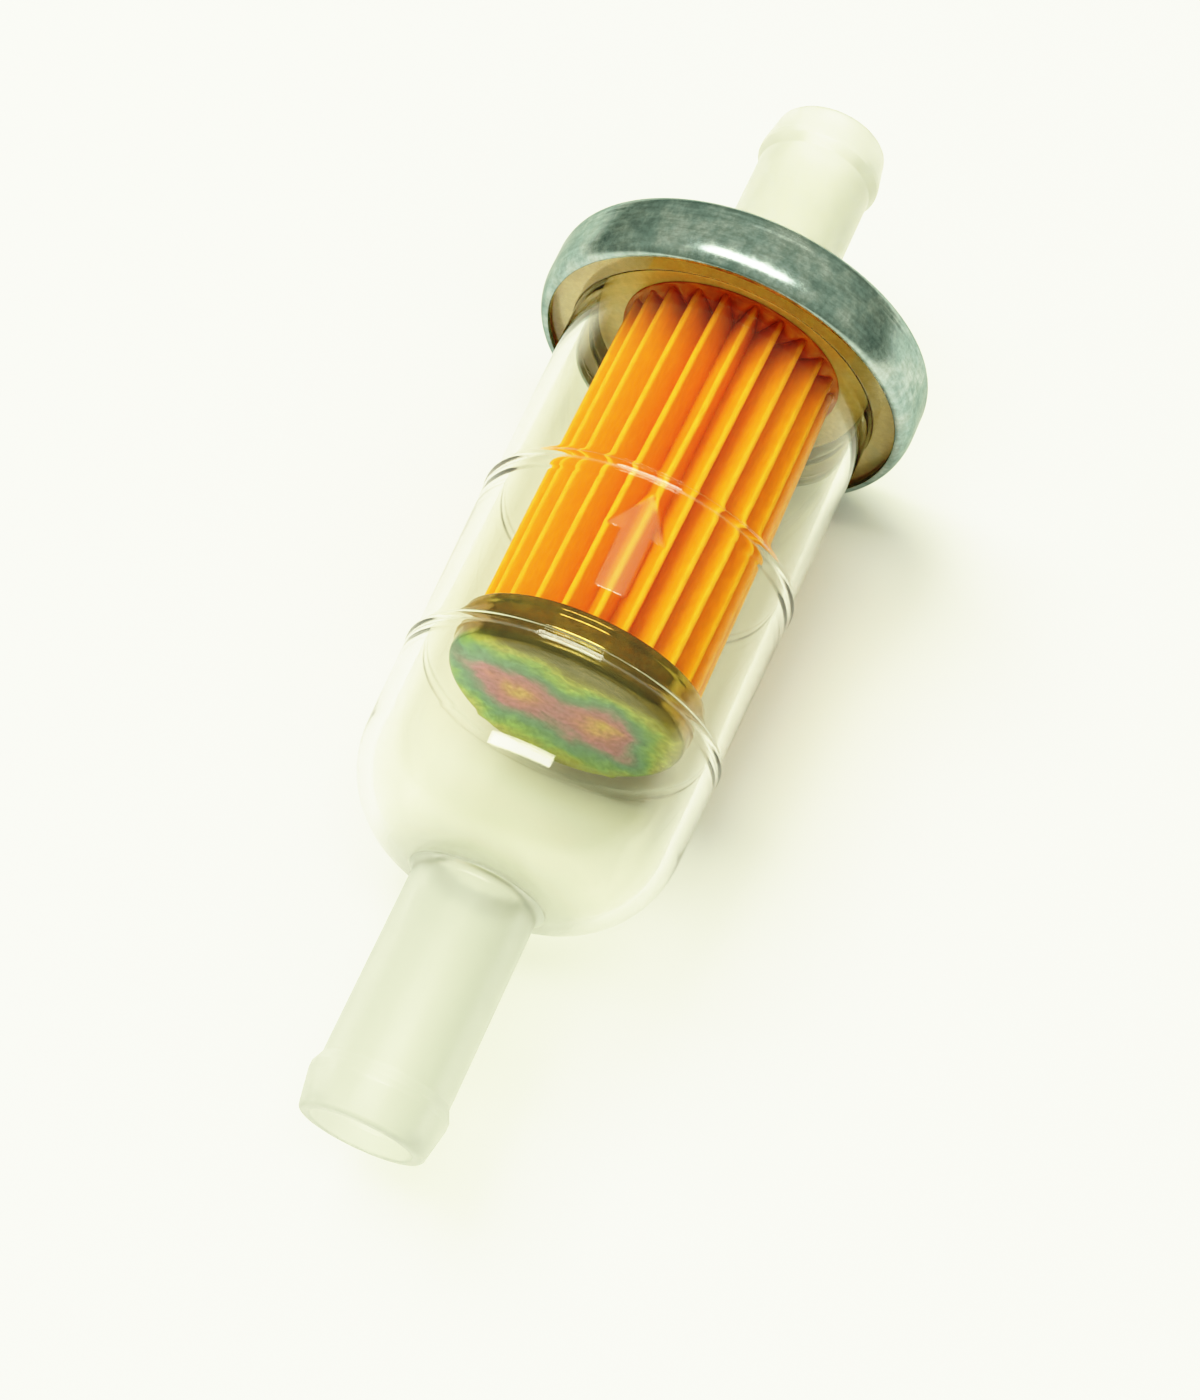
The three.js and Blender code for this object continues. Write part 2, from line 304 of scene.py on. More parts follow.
def milky_nylon():
    """Unpigmented nylon of the outlet cap: light goes in and spreads, with a satin skin."""
    n = Nodes("milky_nylon")
    ripple = n.bump(n.noise(260.0, 3.0), 0.3, 0.00005)
    grain = n.bump(n.noise(6000.0, 2.0), 0.25, 0.00001, ripple)
    tint = n.mix_colour(n.noise(180.0, 2.0), (0.50, 0.51, 0.465, 1), (0.55, 0.56, 0.515, 1))
    body = n.add(
        "BsdfPrincipled", None, Base_Color=tint, Roughness=0.3, IOR=1.5, Subsurface_Weight=1.0,
        Subsurface_Radius=(1.0, 0.95, 0.7), Subsurface_Scale=0.005, Normal=grain,
    )
    clear = n.add(
        "BsdfPrincipled", None, Base_Color=(0.88, 0.89, 0.84, 1), Roughness=0.22, IOR=1.5,
        Transmission_Weight=1.0, Normal=grain,
    )
    mix = n.add("MixShader", None, i0=0.6, i1=body.outputs[0], i2=clear.outputs[0])
    straight, grazing = (0.90, 0.91, 0.84, 1), (0.66, 0.68, 0.6, 1)
    return n.finish(n.let_light_by(mix.outputs[0], straight, grazing))


def zinc_plate():
    """Zinc plate with a thin blue-green passivation film, mottled, and drawn lines round the ring."""
    n = Nodes("zinc_plate")
    angle, _, y = polar(n)
    along, across = n.math("MULTIPLY", angle, 2.2), n.math("MULTIPLY", y, 900.0)
    lines = n.add("CombineXYZ", None, i0=along, i1=across).outputs[0]
    drawn = n.noise(2.5, 4.0, lines, 0.6)
    cloud = n.noise(420.0, 5.0, roughness=0.65)
    spots = n.noise(2000.0, 3.0, roughness=0.7)
    film = n.ramp(cloud, [
        (0.34, (0.27, 0.35, 0.36)),
        (0.46, (0.33, 0.41, 0.42)),
        (0.56, (0.40, 0.475, 0.475)),
        (0.68, (0.49, 0.555, 0.55)),
    ])
    spot_shade = n.fade(spots, 0.36, 0.64, 0.84, 1.06)
    shade = n.math("MULTIPLY", spot_shade, n.fade(drawn, 0.36, 0.62, 0.86, 1.05))
    colour = n.add("VectorMath", {"operation": "SCALE"}, i0=film, Scale=shade).outputs[0]
    rough = n.math("ADD", n.math("MULTIPLY", cloud, 0.18), 0.10)
    rough = n.math("ADD", rough, n.math("MULTIPLY", spots, 0.08))
    normal = n.bump(drawn, 0.12, 0.00001, n.bump(spots, 0.35, 0.00001))
    steel = n.add(
        "BsdfPrincipled", None, Base_Color=colour, Metallic=1.0, Roughness=rough, Normal=normal,
        Specular_Tint=(0.52, 0.57, 0.55, 1),
    )
    return n.finish(steel.outputs[0])


def gold_film(name, colours, roughness):
    """Yellow-passivated steel: a mottled gold film whose hue drifts from place to place."""
    n = Nodes(name)
    cloud = n.noise(240.0, 4.0, roughness=0.55)
    fine = n.noise(1700.0, 3.0, roughness=0.65)
    colour = n.ramp(cloud, colours)
    shade = n.fade(fine, 0.3, 0.8, 0.85, 1.05)
    colour = n.add("VectorMath", {"operation": "SCALE"}, i0=colour, Scale=shade).outputs[0]
    rough = n.math("ADD", n.math("MULTIPLY", fine, 0.12), roughness)
    normal = n.bump(fine, 0.3, 0.00001)
    steel = n.add(
        "BsdfPrincipled", None, Base_Color=colour, Metallic=0.35, Roughness=rough, Normal=normal,
    )
    return n.finish(steel.outputs[0])


def rainbow_cup():
    """The end cap: gold wall, and a face where the film runs through green and teal to pink."""
    n = Nodes("rainbow_cup")
    warped = n.here
    for scale, reach in [(260.0, 0.0050), (1100.0, 0.0013)]:
        swirl = n.add("TexNoise", None, Vector=n.here, Scale=scale, Detail=4.0).outputs[1]
        centred = n.add("VectorMath", {"operation": "SUBTRACT"}, i0=swirl, i1=(0.5, 0.5, 0.5)).outputs[0]
        pushed = n.add("VectorMath", {"operation": "SCALE"}, i0=centred, Scale=reach).outputs[0]
        warped = n.add("VectorMath", {"operation": "ADD"}, i0=warped, i1=pushed).outputs[0]
    # Distance from three thick spots of film, run into each other, sets the interference colour.
    spots = [(-0.0028, 0.0004, 0.0007), (0.0032, -0.0014, -0.0006), (-0.0058, 0.0018, 0.0020)]
    near = None
    for x, z, start in spots:
        gap = n.add("VectorMath", {"operation": "DISTANCE"}, i0=warped, i1=(x, CUP_FACE * MM, z))
        gap = n.math("ADD", gap.outputs["Value"], start)
        near = gap if near is None else n.math("SMOOTH_MIN", near, gap, 0.002)
    # The film also thins from one side of the face to the other.
    parts = n.add("SeparateXYZ", None, i0=n.here).outputs
    y = parts[1]
    drift = n.math("MULTIPLY_ADD", parts[0], 18.0, n.math("MULTIPLY", parts[2], 8.0))
    thickness = n.math("ADD", n.math("DIVIDE", near, 0.0087), drift, clamp=True)
    film = n.ramp(thickness, [
        (0.00, (0.66, 0.44, 0.15)),
        (0.10, (0.60, 0.32, 0.18)),
        (0.19, (0.52, 0.20, 0.24)),
        (0.31, (0.47, 0.19, 0.29)),
        (0.40, (0.27, 0.25, 0.25)),
        (0.48, (0.16, 0.28, 0.23)),
        (0.54, (0.16, 0.31, 0.21)),
        (0.64, (0.25, 0.41, 0.14)),
        (0.76, (0.42, 0.43, 0.11)),
        (0.89, (0.25, 0.21, 0.06)),
        (1.00, (0.16, 0.12, 0.05)),
    ])
    on_face = n.fade(y, (CUP_FACE + 1.0) * MM, (CUP_FACE + 0.3) * MM)
    bronze = [(0.3, (0.24, 0.12, 0.05)), (0.5, (0.36, 0.21, 0.06)), (0.7, (0.42, 0.32, 0.09))]
    wall = n.ramp(n.noise(300.0, 3.0), bronze)
    colour = n.mix_colour(on_face, wall, film)
    fine = n.noise(2000.0, 4.0, roughness=0.7)
    shade = n.fade(fine, 0.34, 0.66, 0.76, 1.12)
    colour = n.add("VectorMath", {"operation": "SCALE"}, i0=colour, Scale=shade).outputs[0]
    normal = n.bump(fine, 0.15, 0.00001, n.bump(n.noise(320.0, 2.0), 0.12, 0.00008))
    rough = n.math("ADD", n.math("MULTIPLY", fine, 0.1), n.math("MULTIPLY_ADD", on_face, 0.1, 0.05))
    steel = n.add(
        "BsdfPrincipled", None, Base_Color=colour, Metallic=1.0, Roughness=rough, Normal=normal,
    )
    return n.finish(steel.outputs[0])


def filter_paper():
    """Orange resin-treated paper: matt, fibrous, lets light through; worn ridges with painted highlight."""
    n = Nodes("filter_paper")
    _, radius, y = polar(n)
    stretched = n.add("VectorMath", {"operation": "MULTIPLY"}, i0=n.here, i1=(1.0, 0.22, 1.0)).outputs[0]
    fibres = n.noise(4200.0, 5.0, stretched, 0.7)
    blotch = n.noise(500.0, 3.0, roughness=0.6)
    flank = n.mix_colour(blotch, (1.0, 0.33, 0.004, 1), (1.0, 0.42, 0.010, 1))
    # Paler along the outer ridges: partly wear, partly a painted highlight where the ridges catch light.
    ridge_wear_and_highlight = n.math("MULTIPLY", n.fade(radius, 0.0088, 0.0094), n.fade(fibres, 0.25, 0.6, 0.7, 1.0))
    colour = n.mix_colour(ridge_wear_and_highlight, flank, (1.0, 0.58, 0.06, 1))
    # Resin crept up the paper at the plate end, less far on the ridges, plus painted shade in the valleys.
    height = n.math("ADD", y, n.math("MULTIPLY_ADD", blotch, 0.0022, -0.0011))
    resin_and_shade = n.math("MULTIPLY", n.fade(height, -0.0044, 0.0), n.fade(radius, 0.0078, 0.0096, 1.0, 0.40))
    colour = n.mix_colour(resin_and_shade, colour, (0.80, 0.20, 0.007, 1))
    speck = n.fade(fibres, 0.35, 0.7, 0.84, 1.05)
    colour = n.add("VectorMath", {"operation": "SCALE"}, i0=colour, Scale=speck).outputs[0]
    normal = n.bump(fibres, 0.6, 0.00004)
    front = n.add(
        "BsdfPrincipled", None, Base_Color=colour, Roughness=0.85, Normal=normal,
        Specular_IOR_Level=0.15,
    )
    back = n.add("BsdfTranslucent", None, Color=(1.0, 0.40, 0.012, 1), Normal=normal)
    mix = n.add("MixShader", None, i0=0.4, i1=front.outputs[0], i2=back.outputs[0])
    return n.finish(mix.outputs[0])


def brown_adhesive():
    """Cured reddish-brown resin with small bubbles and a half-gloss skin."""
    n = Nodes("brown_adhesive")
    cloud = n.noise(700.0, 3.0)
    browns = [(0.3, (0.42, 0.08, 0.006)), (0.55, (0.58, 0.13, 0.010)), (0.8, (0.70, 0.20, 0.018))]
    colour = n.ramp(cloud, browns)
    bubbles = n.add("TexVoronoi", None, Vector=n.here, Scale=1800.0).outputs["Distance"]
    dents = n.fade(bubbles, 0.05, 0.3)
    normal = n.bump(dents, 0.35, 0.00004, n.bump(cloud, 0.5, 0.0001))
    resin = n.add(
        "BsdfPrincipled", None, Base_Color=colour, Roughness=0.32, Normal=normal, Coat_Weight=0.2,
    )
    return n.finish(resin.outputs[0])


def black_rubber():
    """Matt black rubber with a fine grain."""
    n = Nodes("black_rubber")
    grain = n.noise(5000.0, 4.0, roughness=0.6)
    colour = n.mix_colour(grain, (0.012, 0.012, 0.012, 1), (0.035, 0.033, 0.030, 1))
    normal = n.bump(grain, 0.5, 0.00002)
    rubber = n.add("BsdfPrincipled", None, Base_Color=colour, Roughness=0.7, Normal=normal)
    return n.finish(rubber.outputs[0])


def pale_paper():
    """The plain pale floor, with painted shade that darkens it far away from the filter."""
    n = Nodes("pale_paper")
    reach = n.add("VectorMath", {"operation": "LENGTH"}, i0=n.here).outputs["Value"]
    paper = n.mix_colour(n.noise(6.0, 2.0), (0.60, 0.607, 0.593, 1), (0.615, 0.622, 0.608, 1))
    # Painted shade: the floor darkens away from the filter, in place of light falling off.
    painted_falloff = n.fade(reach, 0.08, 0.45, 1.0, 0.5)
    tint = n.add("VectorMath", {"operation": "SCALE"}, i0=paper, Scale=painted_falloff).outputs[0]
    normal = n.bump(n.noise(900.0, 4.0, roughness=0.6), 0.08, 0.0002)
    sheet = n.add(
        "BsdfPrincipled", None, Base_Color=tint, Roughness=0.9, Normal=normal,
        Specular_IOR_Level=0.1,
    )
    return n.finish(sheet.outputs[0])


# ---- pieces -------------------------------------------------------------------------------------


def barb(tip_y, inwards):
    """Nipple end from the mouth of the bore to the plain tube; inwards is +1 or -1 along Y."""
    return [
        (MOUTH, tip_y, 0.18),
        (TIP, tip_y, 0.4),
        (CREST, tip_y + inwards * 2.9, 0.5),
        (CREST, tip_y + inwards * 3.4, 0.35),
        (TUBE, tip_y + inwards * 4.27, 0.35),
    ]


def segment_distance(p, a, b):
    """Distance from p to the straight line from a to b."""
    along = max(0.0, min(1.0, (p - a).dot(b - a) / (b - a).length_squared))
    return (p - a - (b - a) * along).length


def arrow_outline():
    """The flow arrow laid flat: x round the bowl, y along the axis, millimetres."""
    half = [(0, ARROW_TIP), (ARROW_HEAD, ARROW_BASE), (ARROW_STEM, ARROW_BASE), (ARROW_STEM, ARROW_TAIL)]
    mirrored = [(-x, y) for x, y in reversed(half[1:])]
    return [Vector(p) for p in half + mirrored]


def inside(p, outline):
    """Whether p lies inside a closed outline."""
    crossings = 0
    for a, b in zip(outline, outline[1:] + outline[:1]):
        if (a.y > p.y) != (b.y > p.y) and p.x < a.x + (b.x - a.x) * (p.y - a.y) / (b.y - a.y):
            crossings += 1
    return crossings % 2 == 1


def arrow_raise(angle, y, radius, outline=arrow_outline()):
    """How far the arrow stands out at a point of the bowl, from 0 to 1."""
    roll = math.radians(ARROW_ROLL)
    turn = (angle - roll + math.pi) % (2 * math.pi) - math.pi
    p = Vector((turn * radius, y))
    if abs(p.x) > ARROW_HEAD + 1 or not ARROW_TAIL - 1 < y < ARROW_TIP + 1:
        return 0.0
    edges = zip(outline, outline[1:] + outline[:1])
    gap = min(segment_distance(p, a, b) for a, b in edges)
    depth = gap if inside(p, outline) else -gap
    t = max(0.0, min(1.0, depth / ARROW_EDGE + 0.5))
    return t * t * (3 - 2 * t)


def shoulder(radius, next_radius, top):
    """The edge between two lengths of the bowl: a small bead, then a drop to the next radius."""
    points = []
    steps, lead_in, length = 26, 2.0, 2.3
    for i in range(steps + 1):
        y = top - lead_in + length * i / steps
        fall = max(0.0, min(1.0, (y - top + STEP_SLOPE) / STEP_SLOPE))
        drop = (radius - next_radius) * fall * fall * (3 - 2 * fall)
        bead = BEAD * math.exp(-(((y - top + BEAD_AHEAD) / BEAD_WIDTH) ** 2))
        points.append((radius - drop + bead, y))
    return points


def foot_highlight(y):
    """Strength of the pale painted highlight line along each foot of a bead, at a place along the axis."""
    strength, spread = 1.3, 0.1
    beads = (STEP_1 - BEAD_AHEAD, STEP_2 - BEAD_AHEAD)
    gap = min(abs(y - bead + side * BEAD_FOOT) for bead in beads for side in (-1, 1))
    return strength * math.exp(-((gap / spread) ** 2))


def inlet_bowl():
    """The clear moulding, from the inlet nipple to the flange under the ring.

    The point attribute marks where the mould was rough, on the arrow, and along both feet of each
    bead it marks a pale painted highlight line.
    """
    inner_corner = DOME_CORNER - WALL
    dome_out = arc(DOME_CENTRE, DOME_Y, DOME_CORNER, -76, -4, 22)
    dome_in = arc(DOME_CENTRE, DOME_Y, inner_corner, -4, -93, 20)
    root_y = DOME_Y - DOME_CORNER + 0.03
    # Close rows where the arrow lies, on the wall that widens from MIDDLE_R to BOWL_R.
    rows, first_row, last_row = 64, -29.0, STEP_1 - 2.2
    taper_start, taper_end = -32.1, -18.2
    arrow_rows = []
    for i in range(rows + 1):
        y = first_row + (last_row - first_row) * i / rows
        widened = (y - taper_start) / (taper_end - taper_start)
        arrow_rows.append((MIDDLE_R + (BOWL_R - MIDDLE_R) * widened, y))
    outside = [
        *barb(INLET_TIP_Y, 1),
        (TUBE, root_y, 1.1),
        *dome_out,
        (DOME_OUTER + 0.01, DOME_Y),
        *shoulder(LOW_STEP_R, MIDDLE_R, STEP_2),
        *arrow_rows,
        *shoulder(BOWL_R, UPPER_R, STEP_1),
        (BOWL_R, FLANGE_FRONT, 0.16),
        (FLANGE_R - 0.35, FLANGE_FRONT, 0.5),
        (FLANGE_R, FLANGE_BACK, 0.15),
    ]
    hollow = [
        (HOLLOW_R, FLANGE_BACK, 0.25),
        (DOME_OUTER - WALL + 0.01, DOME_Y),
        *dome_in,
        (BORE, DOME_Y - inner_corner + 0.03, 1.4),
        (BORE, INLET_TIP_Y + 1.3, 0.5),
    ]
    verts, faces = turned(rounded(outside + hollow), around=2 * ROUND)
    frost_and_highlight_marks = []
    for v in verts:
        radius = math.hypot(v.x, v.z)
        outside_wall = radius > ARROW_ZONE_R
        lift = arrow_raise(math.atan2(v.x, v.z), v.y, radius) if outside_wall else 0.0
        grow = 1 + lift * ARROW_HEIGHT / radius
        v.x *= grow
        v.z *= grow
        # The arrow's rough mould, or a painted highlight line along the feet of the beads.
        frost_and_highlight_marks.append(max(lift, foot_highlight(v.y) if outside_wall else 0.0))
    piece = add_piece("filter_bowl", verts, faces, clear_nylon(), ["inlet_bowl"])
    frost_and_highlight = piece.data.attributes.new("frost_and_highlight", "FLOAT", "POINT")
    frost_and_highlight.data.foreach_set("value", frost_and_highlight_marks)
    return piece


def outlet_cap():
    """The milky moulding behind the ring, with the outlet nipple."""
    profile = [
        (BORE, CAP_FRONT, 0.3),
        (FLANGE_R, CAP_FRONT, 0.15),
        (FLANGE_R, CAP_BACK, 0.15),
        (TUBE, CAP_BACK, 1.6),
        *reversed(barb(OUTLET_TIP_Y, -1)),
        (BORE, OUTLET_TIP_Y - 1.3, 0.5),
    ]
    verts, faces = turned(rounded(profile))
    return add_piece("filter_outlet_cap", verts, faces, milky_nylon(), ["outlet_cap"])


def crown(start, end, centre, steps=12):
    """Points of a quarter ellipse from start to end, both (radius, y), about its centre."""
    points = []
    for i in range(steps + 1):
        turn = math.pi / 2 * i / steps
        cos, sin = math.cos(turn), math.sin(turn)
        ends = zip(start, end, centre)
        points.append(tuple(c + (a - c) * cos + (b - c) * sin for a, b, c in ends))
    return points


def crimp_ring():
    """Rolled sheet channel with a crowned band; its pressed lip's edge waves a little."""
    front, back = -LIP_PROUD, RING_WIDTH
    waist = 1.75
    inside_r = RING_R - RING_SHEET
    inside_front, inside_back = front + RING_SHEET - 0.02, back - RING_SHEET
    groove, back_waist, inside_waist = back - 1.5, back - 1.1, back - 1.6
    # The radius where each face of the lip and the back starts to bend into the band.
    lip_bend, back_bend, inside_back_bend, inside_lip_bend = 15.35, 15.5, 15.4, 15.3
    profile = [
        (LIP_R, front, 0.1),
        *crown((lip_bend, front), (RING_R, waist), (lip_bend, waist)),
        (RING_R, groove - 0.25),
        (RING_R - 0.025, groove, 0.2),
        (RING_R, groove + 0.25, 0.15),
        *crown((RING_R - 0.02, back_waist), (back_bend, back), (back_bend, back_waist)),
        (BACK_R, back, 0.12),
        (BACK_R, inside_back, 0.12),
        *crown((inside_back_bend, inside_back), (inside_r, inside_waist), (inside_back_bend, inside_waist)),
        *crown((inside_r, waist), (inside_lip_bend, inside_front), (inside_lip_bend, waist)),
        (LIP_R, inside_front, 0.1),
    ]

    def waved(angle, y, radius):
        if radius > LIP_R + 0.4 or y > 1:
            return radius
        spot = Vector((math.cos(angle), math.sin(angle), 0.0))
        return radius + 0.05 * noise.noise(spot * 3.1) + 0.015 * noise.noise(spot * 14.0)

    verts, faces = turned(rounded(profile), shape=waved)
    look = zinc_plate()
    return add_piece("filter_crimp_ring", verts, faces, look, ["crimp_ring"])


def seal_ring():
    """Flat rubber washer behind the plate, its edges bulged a little by the clamping."""
    middle = (GASKET_FRONT + GASKET_BACK) / 2
    profile = [
        (GASKET_INNER + 0.08, GASKET_FRONT, 0.12),
        (FLANGE_R - 0.12, GASKET_FRONT, 0.12),
        (FLANGE_R - 0.02, middle),
        (FLANGE_R - 0.12, GASKET_BACK, 0.12),
        (GASKET_INNER + 0.08, GASKET_BACK, 0.12),
        (GASKET_INNER, middle),
    ]
    verts, faces = turned(rounded(profile))
    return add_piece("filter_seal_ring", verts, faces, black_rubber(), ["seal_ring"])


def element_plate():
    """The disc that carries the element, with a pressed ring inside the pleats' circle."""
    dip = 0.12
    profile = [
        (PLATE_HOLE, PLATE_FRONT, 0.15),
        (PLATE_R, PLATE_FRONT, 0.15),
        (PLATE_R, PLATE_BACK, 0.15),
        (5.6, PLATE_BACK, 0.1),
        (5.4, PLATE_BACK - dip, 0.1),
        (PLATE_HOLE, PLATE_BACK - dip, 0.1),
    ]
    colours = [
        (0.30, (0.70, 0.58, 0.28)),
        (0.45, (0.82, 0.70, 0.35)),
        (0.60, (0.86, 0.75, 0.39)),
        (0.75, (0.78, 0.76, 0.45)),
    ]
    verts, faces = turned(rounded(profile))
    look = gold_film("gold_plate", colours, 0.34)
    return add_piece("filter_element_plate", verts, faces, look, ["element_plate"])


def end_cap():
    """The cup on the inlet end of the pleats: beaded edge, round corner, face a little dished."""
    profile = [
        (0.0, CUP_FACE + 0.28),
        (4.2, CUP_FACE + 0.22),
        (7.2, CUP_FACE + 0.1),
        (8.3, CUP_FACE, 0.6),
        (CUP_WALL_R - 0.06, CUP_FACE, 0.9),
        (CUP_WALL_R - 0.03, CUP_FACE + 1.35, 0.1),
        (CUP_WALL_R + 0.12, CUP_FACE + 1.62, 0.14),
        (CUP_WALL_R - 0.02, CUP_FACE + 1.95, 0.1),
        (CUP_WALL_R, CUP_RIM - 0.75, 0.3),
        (CUP_RIM_R, CUP_RIM - 0.5, 0.2),
        (CUP_RIM_R, CUP_RIM, 0.15),
        (CUP_WALL_R - CUP_SHEET, CUP_RIM, 0.15),
        (CUP_WALL_R - CUP_SHEET, CUP_FACE + CUP_SHEET, 0.65),
        (8.3, CUP_FACE + CUP_SHEET, 0.4),
        (0.0, CUP_FACE + CUP_SHEET + 0.28),
    ]
    verts, faces = turned(rounded(profile, closed=False), closed=False)
    return add_piece("filter_end_cap", verts, faces, rainbow_cup(), ["element_end_cap"])


def hashed(i, salt):
    """A fixed pseudo-random number from -1 to 1."""
    return 2 * ((math.sin(i * 12.9898 + salt * 78.233) * 43758.5453) % 1.0) - 1


def ridge_turn(i):
    """Angle of ridge i of the paper halfway along it, in radians; half numbers are the folds."""
    return math.radians(RIDGE_ANGLE + 360 * i / PLEATS + RIDGE_JITTER * hashed(i % PLEATS, 1))


def paper_line():
    """Points (radius, angle) of the middle of the zigzag sheet, once round, with rounded folds."""
    corners = []
    for i in range(PLEATS):
        radius = PAPER_OUTER + 0.08 * hashed(i, 2)
        corners.append(place(radius, ridge_turn(i), 0).xz)
        corners.append(place(PAPER_INNER, ridge_turn(i + 0.5), 0).xz)
    line = []
    for i, corner in enumerate(corners):
        before = corners[i - 1] - corner
        after = corners[(i + 1) % len(corners)] - corner
        line += fillet_points(corner, before, after, FOLD_RADIUS)
        for share in (0.35, 0.5, 0.65):
            line.append(tuple(corner + after * share))
    return [(math.hypot(x, z), math.atan2(x, z)) for x, z in line]


def pleated_paper():
    """The zigzag sheet, twisted a little along its length, its flanks not quite flat."""
    rows = 30
    middle = paper_line()
    count = len(middle)
    rings = []
    for row in range(rows + 1):
        along = row / rows
        y = PAPER_START + (PAPER_END - PAPER_START) * along
        twist = math.radians(RIDGE_TWIST * (y - TWIST_MIDDLE))
        slack = 1 - (2 * along - 1) ** 2
        line = []
        for radius, angle in middle:
            spot = place(radius, angle, y * 0.45)
            bend = 0.006 * noise.noise(spot * 0.35) * slack
            line.append(place(radius + 0.08 * slack, angle + twist + bend, y))
        rings.append(line)
    verts = []
    for line in rings:
        for side in (1, -1):
            for k, p in enumerate(line):
                run = line[(k + 1) % count] - line[k - 1]
                across = Vector((-run.z, 0, run.x)).normalized()
                verts.append(p + across * side * PAPER_SHEET / 2)
    faces = []

    def quad(*corners):
        """A face through corners given as (row, side, place along the sheet)."""
        faces.append([(row * 2 + side) * count + k % count for row, side, k in corners])

    for row in range(rows):
        up = row + 1
        for k in range(count):
            quad((row, 0, k), (row, 0, k + 1), (up, 0, k + 1), (up, 0, k))
            quad((row, 1, k + 1), (row, 1, k), (up, 1, k), (up, 1, k + 1))
    for k in range(count):
        quad((0, 0, k + 1), (0, 0, k), (0, 1, k), (0, 1, k + 1))
        quad((rows, 0, k), (rows, 0, k + 1), (rows, 1, k + 1), (rows, 1, k))
    return add_piece("filter_pleats", verts, faces, filter_paper(), ["pleated_paper"])


def glue_bed(name, floor_y, rise, outer, node):
    """A ring of resin that stood up between the pleats; rise is signed along Y."""
    inner = 5.8
    columns = 22
    around = ROUND * 2
    twist = math.radians(RIDGE_TWIST * (floor_y - TWIST_MIDDLE))
    verts, faces = [], []
    for column in range(columns + 1):
        t = column / columns
        radius = inner + (outer - inner) * t
        for k in range(around):
            angle = math.pi * k / ROUND
            phase = ((math.degrees(angle - twist) - RIDGE_ANGLE) / 360 * PLEATS) % 1.0
            valley = 0.5 - 0.5 * math.cos(2 * math.pi * phase)
            edge = min(1.0, 6 * (1 - t), 6 * t + 0.5)
            spot = place(radius, angle, floor_y)
            high = 0.32 + 0.85 * valley * min(1.0, 5 * (1 - t)) + 0.2 * noise.noise(spot * 0.8)
            verts.append(place(radius, angle, floor_y + rise * max(0.12, high * math.sqrt(edge))))
    base = len(verts)
    for radius in (inner, outer):
        verts += [place(radius, math.pi * k / ROUND, floor_y) for k in range(around)]
    for k in range(around):
        n = (k + 1) % around
        for column in range(columns):
            a, b = column * around, (column + 1) * around
            faces.append([a + k, a + n, b + n, b + k])
        last = columns * around
        faces.append([base + k, base + n, n, k])
        faces.append([last + k, last + n, base + around + n, base + around + k])
        faces.append([base + around + k, base + around + n, base + n, base + k])
    if rise > 0:
        faces = [list(reversed(f)) for f in faces]
    return add_piece(name, verts, faces, brown_adhesive(), [node])


# ---- studio -------------------------------------------------------------------------------------

CAMERA_AZIMUTH, CAMERA_ELEVATION = 23.08, 59.36
RING_FROM_CAMERA = Vector((9.82, 26.30, 200.17)) * MM  # to the right, up, ahead
FOCAL_LENGTH, SENSOR = 63.02, 36.0


def camera():
    """The photograph's camera, placed by where the crimp ring stands in front of it."""
    a, e = math.radians(CAMERA_AZIMUTH), math.radians(CAMERA_ELEVATION)
    right = Vector((math.cos(a), math.sin(a), 0))
    ahead = Vector((-math.sin(a) * math.cos(e), math.cos(a) * math.cos(e), -math.sin(e)))
    up = right.cross(ahead)
    eye = ORIGIN - right * RING_FROM_CAMERA.x - up * RING_FROM_CAMERA.y - ahead * RING_FROM_CAMERA.z
    data = bpy.data.cameras.new("camera")
    data.lens, data.sensor_width = FOCAL_LENGTH, SENSOR
    data.clip_start, data.clip_end = 0.005, 20.0
    eye_object = bpy.data.objects.new("camera", data)
    eye_object.matrix_world = Matrix.Translation(eye) @ Matrix((right, up, -ahead)).transposed().to_4x4()
    bpy.context.scene.collection.objects.link(eye_object)
    bpy.context.scene.camera = eye_object


def soft_light(name, direction, distance, size, power, colour):
    """A rectangular softbox that faces the filter; its long side lies along X."""
    data = bpy.data.lights.new(name, "AREA")
    data.shape = "RECTANGLE"
    data.size, data.size_y = size
    data.energy, data.color = power, colour
    lamp = bpy.data.objects.new(name, data)
    away = Vector(direction).normalized()
    side = Vector((1, 0, 0))
    side = (side - away * side.dot(away)).normalized()
    lamp.matrix_world = (
        Matrix.Translation(ORIGIN + away * distance)
        @ Matrix((side, away.cross(side), away)).transposed().to_4x4()
    )
    bpy.context.scene.collection.objects.link(lamp)
    return lamp


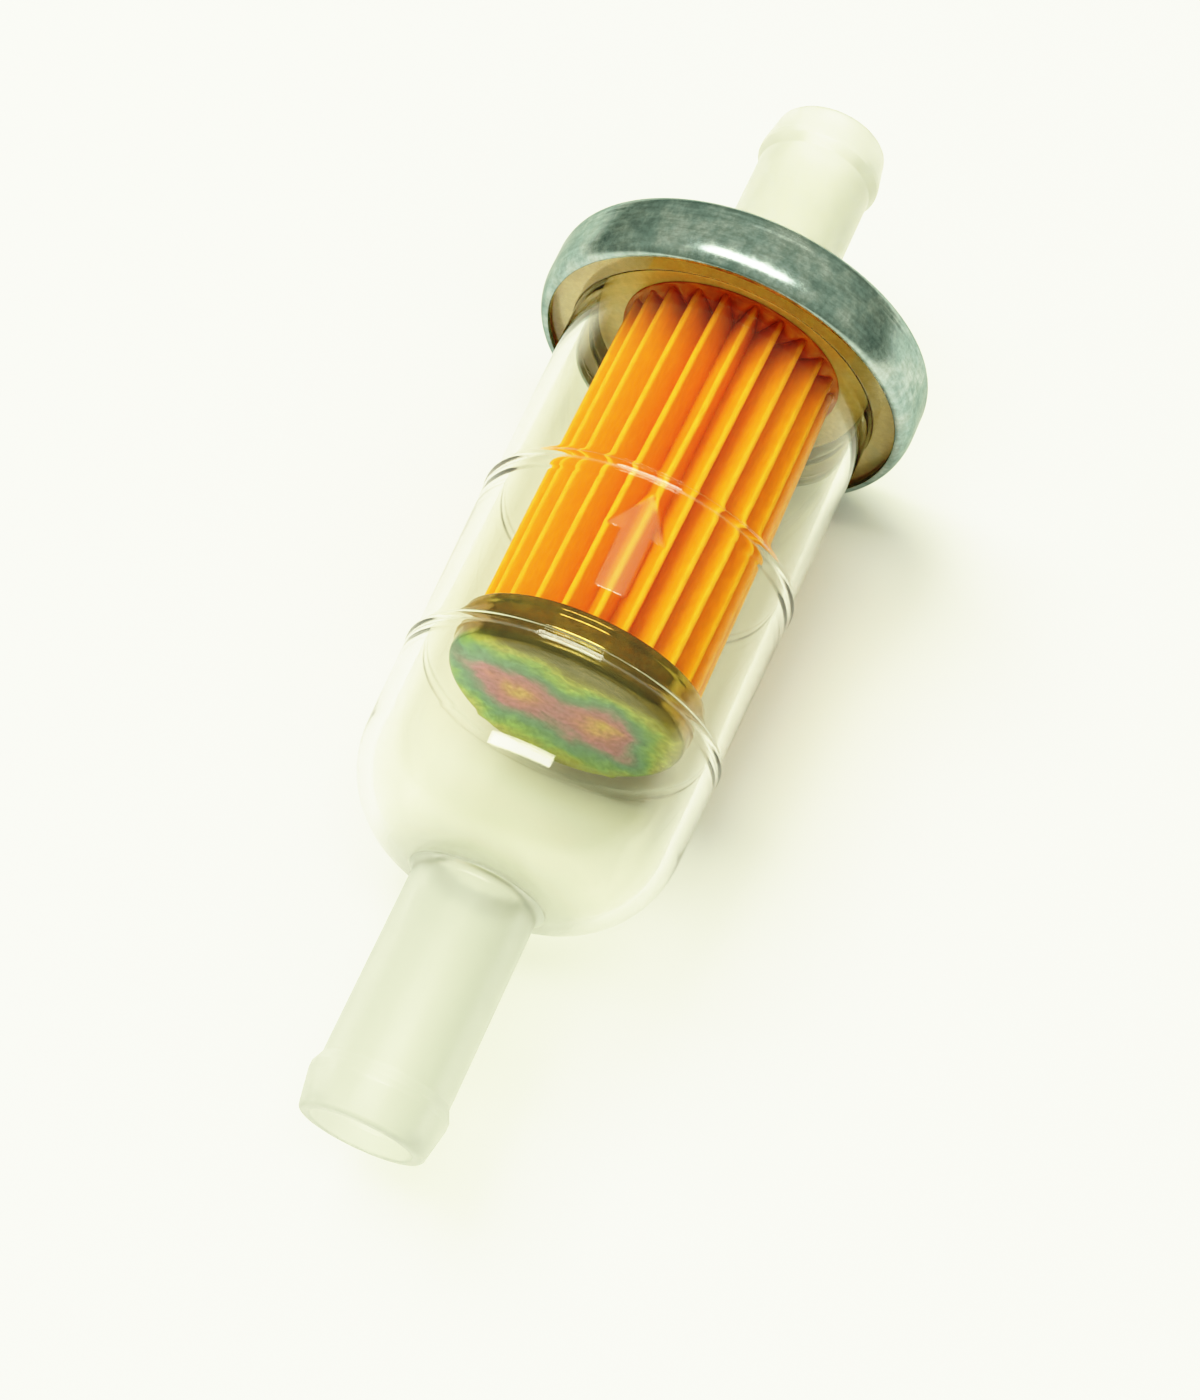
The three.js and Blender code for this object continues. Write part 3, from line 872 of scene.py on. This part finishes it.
def room():
    """A dim room, lighter overhead than round the sides, for the metal and the bowl to reflect."""
    world = bpy.data.worlds.new("room")
    world.use_nodes = True
    tree = world.node_tree
    background = tree.nodes["Background"]
    coords = tree.nodes.new("ShaderNodeTexCoord")
    split = tree.nodes.new("ShaderNodeSeparateXYZ")
    ramp = tree.nodes.new("ShaderNodeValToRGB")
    tree.links.new(coords.outputs["Generated"], split.inputs[0])
    tree.links.new(split.outputs[2], ramp.inputs[0])
    tree.links.new(ramp.outputs[0], background.inputs["Color"])
    elements = ramp.color_ramp.elements
    elements[0].position, elements[0].color = 0.0, (0.32, 0.345, 0.335, 1)
    elements[1].position, elements[1].color = 0.55, (0.56, 0.60, 0.59, 1)
    elements.new(0.2).color = (0.40, 0.43, 0.42, 1)
    background.inputs["Strength"].default_value = 1.0
    world.cycles.sampling_method = "NONE"
    bpy.context.scene.world = world


def floor():
    """A wide plain sheet under the filter."""
    bpy.ops.mesh.primitive_circle_add(vertices=96, radius=2.5, fill_type="NGON", location=(0, 0, 0))
    sheet = bpy.context.object
    sheet.name = "floor"
    sheet.data.materials.append(pale_paper())


def film():
    """A photographic tone curve with a warm white balance; highlights roll off, shadows are firm."""
    settings = bpy.context.scene.view_settings
    settings.view_transform = "Standard"
    settings.use_curve_mapping = True
    mapping = settings.curve_mapping
    white = 2.0
    mapping.white_level = (white, white, white * 1.3)
    points = mapping.curves[3].points
    for light, shown in [(0.04, 0.012), (0.1, 0.08), (0.3, 0.34), (0.6, 0.65), (1.0, 0.88), (1.4, 0.95)]:
        points.new(light / white, shown)
    mapping.update()


camera()
room()
floor()
soft_light("ceiling_light", (0.0, -0.1, 1.0), 1.8, (1.45, 0.42), 24.0, (1.0, 1.0, 1.0))
window = soft_light("window_light", (-0.45, 0.20, 0.87), 2.5, (1.5, 1.5), 84.0, (1.0, 1.0, 1.0))
fill = soft_light("fill_light", (0.55, -0.50, 0.67), 2.5, (1.2, 1.2), 14.0, (1.0, 1.0, 1.0))
for lamp in (window, fill):
    lamp.visible_glossy = False
    lamp.visible_transmission = False
cycles = bpy.context.scene.cycles
cycles.max_bounces, cycles.diffuse_bounces, cycles.transmission_bounces = 20, 8, 16
cycles.transparent_max_bounces = 24
film()

inlet_bowl()
outlet_cap()
crimp_ring()
seal_ring()
element_plate()
end_cap()
pleated_paper()
glue_bed("filter_plate_glue", PLATE_FRONT - 0.05, -0.7, 9.5, "plate_adhesive")
glue_bed("filter_cup_glue", CUP_FACE + CUP_SHEET + 0.3, 2.1, 9.42, "end_cap_adhesive")
